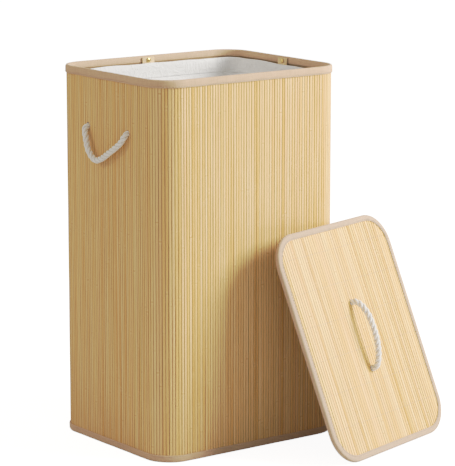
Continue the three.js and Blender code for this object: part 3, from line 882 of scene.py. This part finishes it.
def creased_cotton(tree):
    looks = woven(LINER_SHADES, LINER_PITCH, 0.7, 0.00008)(tree)
    creases = noise(own_place(tree), 38.0, 3.0, Distortion=1.6)
    from_crease = reckon("ABSOLUTE", reckon("SUBTRACT", creases, 0.5))
    ridge = ramp(from_crease, 1.0, 0.0, 0.0, 0.07)
    looks["Normal"] = node(tree, "Bump", {
        "Height": ridge, "Distance": 0.0006, "Strength": 0.6, "Normal": looks["Normal"]}).outputs["Normal"]
    return looks


liner_cotton = coat("creased_cotton", creased_cotton, Roughness=0.95, Sheen_Weight=0.1)

luck = np.random.default_rng(23)
whole = outline_length(*wall_outline)
at = np.linspace(0, whole, LINER_ROUND, endpoint=False)
stands, outward = round_outline(*wall_outline, at)
inset = liner_inset(LINER_LEVELS)[:, None] + liner_folds(at, LINER_LEVELS, luck)
flat = stands[None] - outward[None] * inset[..., None]
heights = np.repeat(LINER_LEVELS[:, None], LINER_ROUND, axis=1)
walls = np.concatenate([flat, heights[..., None]], axis=2)
shrink = np.linspace(1, 0, LINER_FLOOR_RINGS + 1)[1:, None, None]
pucker = 0.0007 * (1 - np.cos(np.linspace(0, 3, LINER_FLOOR_RINGS) * 2.1))[:, None]
floor_flat = flat[-1][None] * np.maximum(shrink, 0.004)
floor_up = LINER_LEVELS[-1] + pucker * (1 + np.sin(at * 23)[None]) * shrink[..., 0]
floor_rings = np.concatenate([floor_flat, floor_up[..., None]], axis=2)
points = np.vstack([walls.reshape(-1, 3), floor_rings.reshape(-1, 3)])
rows = len(LINER_LEVELS) + LINER_FLOOR_RINGS
faces = ring_faces(rows, LINER_ROUND)
faces.append(tuple((rows - 1) * LINER_ROUND + i for i in reversed(range(LINER_ROUND))))
down = np.concatenate([LINER_LEVELS, -np.linspace(0, half_depth, LINER_FLOOR_RINGS)])
numbers = {"tape_along": np.tile(at, rows), "tape_across": np.repeat(down, LINER_ROUND)}
liner_cloth = new_piece("liner_cloth", points, faces, liner_cotton, numbers)
thicken = liner_cloth.modifiers.new("cloth_thickness", "SOLIDIFY")
thicken.thickness = LINER_THICKNESS
thicken.offset = 0
settle(liner_cloth, "liner", "liner_cotton", "liner_neck", "liner_shoulder", "liner_bag",
       "liner_bottom")

# ---- Liner hem ----------
# The top of the bag is turned over into a 25 mm hem and sewn down near its lower edge. The
# cloth is soft, so the hem's top is not quite level between the tabs.
HEM_TOP, HEM_FOOT = 0.588, 0.563
HEM_OUT, HEM_IN = 0.0086, 0.0112
hem_section = [
    (HEM_OUT + 0.0004, HEM_FOOT), (HEM_OUT, HEM_FOOT + 0.0006), (HEM_OUT - 0.0001, 0.575),
    (HEM_OUT, HEM_TOP - 0.0012), (HEM_OUT + 0.0005, HEM_TOP - 0.0003), (HEM_OUT + 0.0013, HEM_TOP),
    (HEM_IN - 0.0005, HEM_TOP - 0.0003), (HEM_IN, HEM_TOP - 0.0012), (HEM_IN + 0.0003, 0.580),
    (HEM_IN + 0.0001, 0.574), (HEM_IN, 0.5685), (HEM_IN - 0.0002, 0.567), (HEM_IN + 0.0001, 0.5655),
    (HEM_IN, HEM_FOOT + 0.0006), (HEM_IN - 0.0004, HEM_FOOT)]


def soft_hem(at, inset, up):
    """Small waves along the top, and fullness that leans in between the tabs."""
    top = np.clip((up - HEM_FOOT) / (HEM_TOP - HEM_FOOT), 0, 1)
    dip = 0.0007 * np.sin(at * 27)[:, None] + 0.0005 * np.sin(at * 71 + 2)[:, None] - 0.0005
    lean = 0.00022 * (1 + np.sin(at * 39 + 1)[:, None]) + 0.00012 * (1 + np.sin(at * 88)[:, None])
    return inset + lean * top, up + dip * top


swept("hem_band", wall_outline, hem_section, LINER_ROUND, liner_cotton, "liner", "liner_hem",
      "liner_cotton", None, soft_hem)

# ---- Liner tabs ----------
# Four short tapes sewn to the back of the hem, one in the middle of each wall. They stand
# up over the rim tape, and each carries the cap that snaps on to its wall's press stud.
TAB_HALF, TAB_TOP, TAB_FOOT = 0.012, 0.598, 0.574
TAB_INSET, TAB_THICKNESS = 0.0075, 0.0008
TAB_ROUND = 0.002
TAB_SHADES = ((0.62, 0.43, 0.23, 1), (0.86, 0.66, 0.40, 1))
tab_tape = coat("tab_tape", woven(TAB_SHADES, 0.0008, 0.5, 0.00015), Roughness=0.85)


def tab_outline():
    """The tab's outline, with its upper corners rounded."""
    turn = np.linspace(0, math.pi / 2, 7)
    right = np.column_stack([TAB_HALF - TAB_ROUND + TAB_ROUND * np.cos(turn),
                             TAB_TOP - TAB_ROUND + TAB_ROUND * np.sin(turn)])
    left = np.column_stack([-right[::-1, 0], right[::-1, 1]])
    return np.vstack([[(TAB_HALF, TAB_FOOT)], right, left, [(-TAB_HALF, TAB_FOOT)]])


edge = tab_outline()
for where, turn, reach in WALLS:
    layers = []
    for depth, tuck in ((0, 0.0003), (0.0002, 0), (0.0006, 0), (TAB_THICKNESS, 0.0003)):
        middle = edge.mean(axis=0)
        pulled = edge + (middle - edge) * (tuck / TAB_HALF)
        bow = 0.0002 * np.cos((pulled[:, 1] - TAB_FOOT) * 120)
        layers.append(np.column_stack([pulled[:, 0], depth + bow, pulled[:, 1]]))
    faces = tube_faces(len(layers), len(edge))
    points = np.vstack(layers)
    spot = on_wall(turn, reach, TAB_INSET, 0)
    numbers = {"tape_along": points[:, 0], "tape_across": points[:, 2]}
    tab = new_piece(f"tab_{where}", points, faces, tab_tape, numbers, spot)
    settle(tab, "liner", "binding_tape", f"liner_tab_{where}")

# ---- Lid slats ----------
# The lid's top is the same kind of mat, of slightly wider slats along its long side, drawn
# over a board. Rows of thread that bind the slats show faintly across it.
LID_OVERHANG = 0.008
LID_SLAT_PITCH = 0.00582
LID_SLAT_WIDTH = 0.00555
LID_MAT_MIDDLE = 0.006
LID_SLAT_THICKNESS = 0.0014
LID_STACK_INSET = 0.0012
LID_LEAN = math.radians(1.6)
LID_WOBBLE = 0.00006
LID_THREAD_ROWS = 6
LID_THREAD_PITCH = 0.055
LID_THREAD_SHIFT = 0.008  # the rows' middle along the lid
LID_THREAD = 0.00016  # half the thread's thickness
LID_THREAD_SIDES = 6
lid_outline = (half_depth + LID_OVERHANG, half_width + LID_OVERHANG, CORNER_RADIUS + LID_OVERHANG)
mat_x, mat_y, mat_radius = (size - LID_STACK_INSET for size in lid_outline)


def lid_reach(across):
    """How far along the lid the mat runs at a place across it."""
    past = np.maximum(np.abs(across) - (mat_x - mat_radius), 0)
    return mat_y - mat_radius + np.sqrt(np.maximum(mat_radius ** 2 - past ** 2, 1e-8))


luck = np.random.default_rng(5)
count = round(2 * mat_x / LID_SLAT_PITCH)
lid_holes = [-HANDLE_HALF_SPAN, HANDLE_HALF_SPAN]
slats, crowns = [], []
for number in range(count):
    middle = (number + 0.5 - count / 2) * 2 * mat_x / count
    half = LID_SLAT_WIDTH / 2 * luck.uniform(0.97, 1.02)
    section_across = np.clip(middle + SLAT_SECTION[:, 0] * half, -mat_x, mat_x)
    ends = lid_reach(section_across)
    lean = luck.normal(0, LID_LEAN)
    out = np.array([math.sin(lean), 0, math.cos(lean)])
    across = np.array([math.cos(lean), 0, -math.sin(lean)])
    spot = np.array([middle, 0, LID_MAT_MIDDLE + luck.uniform(-0.00006, 0.00006)])
    stretches = slat_stretches(SLAT_SECTION[:, 0] * half, -ends, ends,
                               [(-middle, y) for y in lid_holes])
    thick = LID_SLAT_THICKNESS * luck.uniform(0.95, 1.03)
    slats.append((spot, across, out, np.array([0.0, 1.0, 0.0]), half, thick, stretches))
    crowns.append((middle, spot[2] + thick / 2))
points, faces, numbers = slat_mat(slats, SLAT_SECTION, LID_WOBBLE, luck)
numbers["slat"] = numbers["slat"] + slat_count
settle(new_piece("lid_slats", points, faces, bamboo, numbers, lid_place), "lid", "bamboo",
       "lid_mat")

points, faces = [], []
turn = full_turn(LID_THREAD_SIDES)
girth = np.column_stack([0 * turn, np.sin(turn), np.cos(turn)])
for row in range(LID_THREAD_ROWS):
    y = (row - (LID_THREAD_ROWS - 1) / 2) * LID_THREAD_PITCH + LID_THREAD_SHIFT
    line = []
    for middle, crown in crowns:
        if abs(y) < float(lid_reach(np.array([middle]))[0]) - 0.004:
            sway = luck.uniform(-0.0003, 0.0003)
            line += [(middle - LID_SLAT_PITCH / 2, y + sway, crown - 0.0007),
                     (middle - LID_SLAT_PITCH * 0.33, y, crown + 0.00002),
                     (middle, y, crown + 0.0001),
                     (middle + LID_SLAT_PITCH * 0.33, y, crown + 0.00002)]
    line = np.array(line)
    rings = line[:, None] + LID_THREAD * girth
    first = sum(len(p) for p in points)
    points.append(rings.reshape(-1, 3))
    faces += tube_faces(len(line), LID_THREAD_SIDES, first)
settle(new_piece("lid_threads", np.vstack(points), faces, thread, None, lid_place), "lid",
       "binding_tape")

# ---- Lid tape ----------
# The same woven tape, folded over the lid's edge all the way round, with a 10 mm band on
# each face and a stitch row near the band's inner edge.
LID_BAND = 0.010
LID_STITCH_INSET = LID_BAND - 0.0018
# A darker copy of the rim tape's colours: painted shade on the same tape.
LID_TAPE_SHADED_COPY = ((0.42, 0.295, 0.20, 1), (0.665, 0.485, 0.335, 1))
lid_weave = coat("lid_tape_weave", woven(LID_TAPE_SHADED_COPY, WEAVE_PITCH, 0.75, 0.00018),
                 Roughness=0.9, Sheen_Weight=0.15)
lid_section = [
    (LID_BAND, 0.0009), (LID_BAND, 0.0003), (LID_BAND - 0.0004, 0.0), (LID_BAND * 0.6, -0.0001),
    (0.0026, 0.0), (0.0012, 0.0004), (0.0004, 0.0014), (0.0, 0.003), (-0.0001, 0.0045),
    (0.0001, 0.0058), (0.0006, 0.0069), (0.0016, 0.0077), (0.003, 0.0081), (LID_BAND * 0.6, 0.0082),
    (LID_BAND - 0.0006, 0.0080), (LID_BAND, 0.0077), (LID_BAND + 0.0001, 0.0072),
    (LID_BAND - 0.0006, 0.0070), (0.0011, 0.0069), (0.0010, 0.0012)]
swept("lid_tape", lid_outline, lid_section, TAPE_STEPS, lid_weave, "lid", "lid_binding",
      "binding_tape", lid_place)
stitches_round("lid_stitches_top", lid_outline, LID_STITCH_INSET, 0.0082, "lid", lid_place, True)
stitches_round("lid_stitches_under", lid_outline, LID_STITCH_INSET, -0.0001, "lid", lid_place, True)

# ---- Floor, walls of light and lamps ----------
# A plain pale floor under an even white surround, a large soft lamp from the front right, a
# little above the lid, and a weaker one from the left that gives the side rope its shadow.
FLOOR_SIZE = 14
FLOOR_GLOW = 1.7


def show_camera(tree, shown, others, output):
    """One shader for what the camera sees directly and another for all other light."""
    seen = node(tree, "LightPath").outputs["Is Camera Ray"]
    mixed = node(tree, "MixShader", {0: seen, 1: others.outputs[0], 2: shown.outputs[0]})
    tree.links.new(mixed.outputs[0], node(tree, output).inputs["Surface"])


floor_mesh = bpy.data.meshes.new("floor")
corner = FLOOR_SIZE / 2
floor_mesh.from_pydata(
    [(-corner, -corner, 0), (corner, -corner, 0), (corner, corner, 0), (-corner, corner, 0)],
    [], [(0, 1, 2, 3)])
floor = bpy.data.objects.new("floor", floor_mesh)
bpy.context.scene.collection.objects.link(floor)
floor_paint = bpy.data.materials.new("floor_paint")
floor_paint.use_nodes = True
tree = floor_paint.node_tree
tree.nodes.clear()
matt = node(tree, "BsdfDiffuse", {"Color": (0.62, 0.61, 0.60, 1)})
bright = node(tree, "Emission", {"Color": (1, 1, 1, 1), "Strength": FLOOR_GLOW})
both = node(tree, "AddShader", {0: matt.outputs[0], 1: bright.outputs[0]})
show_camera(tree, both, matt, "OutputMaterial")
floor_mesh.materials.append(floor_paint)

SURROUND_LIGHT = 0.54
SURROUND_SEEN = 2.6
world = bpy.data.worlds.new("surround")
world.use_nodes = True
tree = world.node_tree
tree.nodes.clear()
glow = node(tree, "Background", {"Color": (1.0, 0.965, 0.915, 1), "Strength": SURROUND_LIGHT})
backdrop = node(tree, "Background", {"Color": (1, 1, 1, 1), "Strength": SURROUND_SEEN})
show_camera(tree, backdrop, glow, "OutputWorld")
bpy.context.scene.world = world

LAMP_DISTANCE = 3.2
LAMP_TARGET = Vector((0, 0, 0.3))


def soft_lamp(name, towards, width, power, colour):
    """A round lamp that shines on the hamper from a direction."""
    lamp_data = bpy.data.lights.new(name, "AREA")
    lamp_data.shape = "DISK"
    lamp_data.size = width
    lamp_data.energy = power
    lamp_data.color = colour
    lamp = bpy.data.objects.new(name, lamp_data)
    towards = Vector(towards).normalized()
    lamp.location = LAMP_TARGET + towards * LAMP_DISTANCE
    lamp.rotation_euler = towards.to_track_quat("Z", "Y").to_euler()
    bpy.context.scene.collection.objects.link(lamp)


soft_lamp("key_lamp", (0.62, -0.63, 0.46), 1.6, 147, (1.0, 0.985, 0.97))
soft_lamp("side_lamp", (-0.78, 0.38, 0.50), 0.6, 14, (1.0, 0.86, 0.68))

# The film: straight up to mid tones, then a soft shoulder to white at twice the light.
FILM_WHITE = 2.0
FILM_SHOULDER = ((0.1, 0.2), (0.205, 0.41), (0.455, 0.66), (0.685, 0.83))
view = bpy.context.scene.view_settings
view.view_transform = "Standard"
view.use_curve_mapping = True
view.curve_mapping.white_level = (FILM_WHITE,) * 3
film = view.curve_mapping.curves[3]
for x, y in FILM_SHOULDER:
    film.points.new(x, y)
view.curve_mapping.update()
